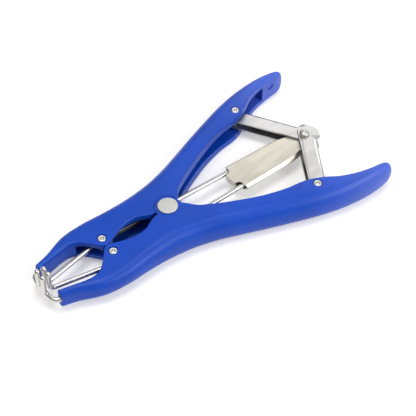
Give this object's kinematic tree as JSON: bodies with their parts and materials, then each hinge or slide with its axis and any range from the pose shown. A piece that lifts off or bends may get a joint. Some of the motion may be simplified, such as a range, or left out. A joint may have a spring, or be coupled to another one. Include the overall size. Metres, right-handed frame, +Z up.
{
  "type": "elastrator pliers",
  "caption": "Reverse-acting pliers that spread a rubber ring over upright prongs, with moulded crossing handles, a folding link pair and a sliding rod carrier.",
  "frame": {"origin": "bottom centre of the bounding box, on the plane that the tool lies on", "axes": "+X from the prongs to the handle tips, +Y to the left handle, +Z up along the pivot and the prongs"},
  "size_m": [0.2326, 0.1208, 0.026],
  "materials": {
    "blue_plastic": "satin moulded plastic",
    "plated_sheet": "dull zinc plating",
    "bright_wire": "bright drawn wire",
    "rivet_steel": "bright rolled heads"
  },
  "bodies": {
    "pivot": {"pivot_rivet": "rivet_steel", "pivot_spacer": "rivet_steel", "upper_washer": "rivet_steel", "lower_washer": "rivet_steel"},
    "left_handle": {"left_half": "blue_plastic", "left_guide_rivet": "rivet_steel", "left_link_rivet": "rivet_steel", "left_jaw_wire": "bright_wire"},
    "right_handle": {"right_half": "blue_plastic", "right_guide_rivet": "rivet_steel", "right_link_rivet": "rivet_steel", "right_jaw_wire": "bright_wire"},
    "left_strut": {"left_link": "plated_sheet"},
    "right_strut": {"right_link": "plated_sheet"},
    "rod_carrier": {"slider": "plated_sheet", "knee_rivet": "rivet_steel"},
    "left_pull_rod": {"left_rod": "bright_wire"},
    "right_pull_rod": {"right_rod": "bright_wire"}
  },
  "joints": [
    {"name": "left_squeeze", "type": "hinge", "parent": "pivot", "child": "left_handle", "pos_m": [-0.02127, 0, 0.0105], "axis": [0, 0, -1], "range_deg": [0, 12]},
    {"name": "right_squeeze", "type": "hinge", "parent": "pivot", "child": "right_handle", "pos_m": [-0.02127, 0, 0.0105], "axis": [0, 0, 1], "range_deg": [0, 12]},
    {"name": "left_link_fold", "type": "hinge", "parent": "left_handle", "child": "left_strut", "pos_m": [0.06552, 0.0418, 0.0105], "axis": [0, 0, 1], "range_deg": [0, 44]},
    {"name": "knee_fold", "type": "hinge", "parent": "left_strut", "child": "rod_carrier", "pos_m": [0.09071, 0, 0.0105], "axis": [0, 0, 1], "range_deg": [-32, 0]},
    {"name": "right_link_fold", "type": "hinge", "parent": "rod_carrier", "child": "right_strut", "pos_m": [0.09071, 0, 0.0105], "axis": [0, 0, 1], "range_deg": [-32, 0]},
    {"name": "left_rod_swing", "type": "hinge", "parent": "rod_carrier", "child": "left_pull_rod", "pos_m": [0.03322, 0.0073, 0.0105], "axis": [0, 0, 1], "range_deg": [-7.3, 0]},
    {"name": "right_rod_swing", "type": "hinge", "parent": "rod_carrier", "child": "right_pull_rod", "pos_m": [0.03322, -0.0073, 0.0105], "axis": [0, 0, 1], "range_deg": [0, 7.3]}
  ],
  "couplings": [
    {"joint": "right_squeeze", "follows": "left_squeeze", "ratio": 1},
    {"joint": "left_link_fold", "follows": "left_squeeze", "ratio": 3.66},
    {"joint": "knee_fold", "follows": "left_squeeze", "ratio": -2.66},
    {"joint": "right_link_fold", "follows": "left_squeeze", "ratio": -2.66},
    {"joint": "left_rod_swing", "follows": "left_squeeze", "ratio": -0.6},
    {"joint": "right_rod_swing", "follows": "left_squeeze", "ratio": 0.6}
  ]
}
